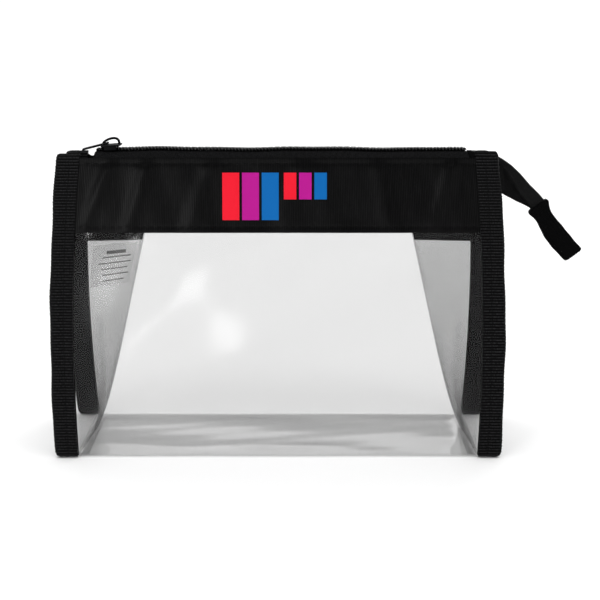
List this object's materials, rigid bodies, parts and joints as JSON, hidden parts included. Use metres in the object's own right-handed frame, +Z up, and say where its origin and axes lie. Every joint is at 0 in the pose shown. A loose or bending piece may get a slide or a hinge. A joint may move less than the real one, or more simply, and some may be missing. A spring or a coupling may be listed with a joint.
{
  "type": "cosmetic bag",
  "caption": "Wedge-shaped clear cosmetic bag with black fabric top bands, taped side seams, folded side gussets, a coil zipper along the top and a hanging tail tab.",
  "frame": {"origin": "middle of the underside of the clear base panel", "axes": "+X to the right seen from the front, -Y out of the front wall, +Z up; the zipper runs along X and its tail hangs at +X"},
  "size_m": [0.2765, 0.073, 0.161],
  "materials": {
    "clear_sheet": "clear soft vinyl sheet",
    "band_fabric": "finely ribbed black polyester",
    "binding_tape": "cross-ribbed black tape",
    "zip_tape": "herringbone black tape",
    "coil": "black nylon coil",
    "thread": "black polyester thread",
    "zip_metal": "dark lacquered zinc",
    "label": "translucent blank label",
    "print_red": "screen print ink",
    "print_magenta": "screen print ink",
    "print_blue": "screen print ink"
  },
  "bodies": {
    "body": {"base_panel": "clear_sheet", "back_window": "clear_sheet", "back_band": "band_fabric", "back_left_binding": "binding_tape", "back_right_binding": "binding_tape", "left_gusset_back_leaf": "clear_sheet", "right_gusset_back_leaf": "clear_sheet", "left_gusset_back_band": "band_fabric", "right_gusset_back_band": "band_fabric", "back_zip_tape": "zip_tape", "back_coil": "coil", "back_top_stop": "zip_metal", "left_base_seam": "clear_sheet", "right_base_seam": "clear_sheet", "zip_end_fold": "zip_tape", "back_band_stitches": "thread", "back_binding_stitches": "thread"},
    "front_wall": {"front_window": "clear_sheet", "front_band": "band_fabric", "front_left_binding": "binding_tape", "front_right_binding": "binding_tape", "left_gusset_front_leaf": "clear_sheet", "right_gusset_front_leaf": "clear_sheet", "left_gusset_front_band": "band_fabric", "right_gusset_front_band": "band_fabric", "front_zip_tape": "zip_tape", "front_coil": "coil", "front_top_stop": "zip_metal", "care_label": "label", "front_band_stitches": "thread", "front_binding_stitches": "thread", "print_red": "print_red", "print_magenta": "print_magenta", "print_blue": "print_blue"},
    "slider": {"slider_body": "zip_metal", "slider_bridge": "zip_metal"},
    "puller": {"puller": "zip_metal"},
    "tail": {"tail_front_tape": "zip_tape", "tail_back_tape": "zip_tape", "tail_coil": "coil"},
    "tail_end": {"tail_tab": "band_fabric", "tail_tab_stitches": "thread"}
  },
  "joints": [
    {"name": "slider_travel", "type": "slide", "parent": "body", "child": "slider", "axis": [1, 0, 0], "range_m": [0, 0.176]},
    {"name": "mouth_open", "type": "hinge", "parent": "body", "child": "front_wall", "pos_m": [0, -0.035, 0], "axis": [1, 0, 0], "range_deg": [0, 10], "deforming": ["front_zip_tape", "front_coil"]},
    {"name": "puller_flip", "type": "hinge", "parent": "slider", "child": "puller", "pos_m": [-0.088, 0, 0.1587], "axis": [0, 1, 0], "range_deg": [0, 186]},
    {"name": "tail_swing", "type": "hinge", "parent": "body", "child": "tail", "pos_m": [0.1156, 0, 0.142], "axis": [0, 0, 1], "range_deg": [-50, 50]},
    {"name": "tail_tab_bend", "type": "hinge", "parent": "tail", "child": "tail_end", "pos_m": [0.136, 0, 0.1253], "axis": [0.7944, 0, 0.6074], "range_deg": [-40, 40]}
  ],
  "couplings": [
    {"joint": "mouth_open", "follows": "slider_travel", "rad_per_m": 0.991}
  ]
}
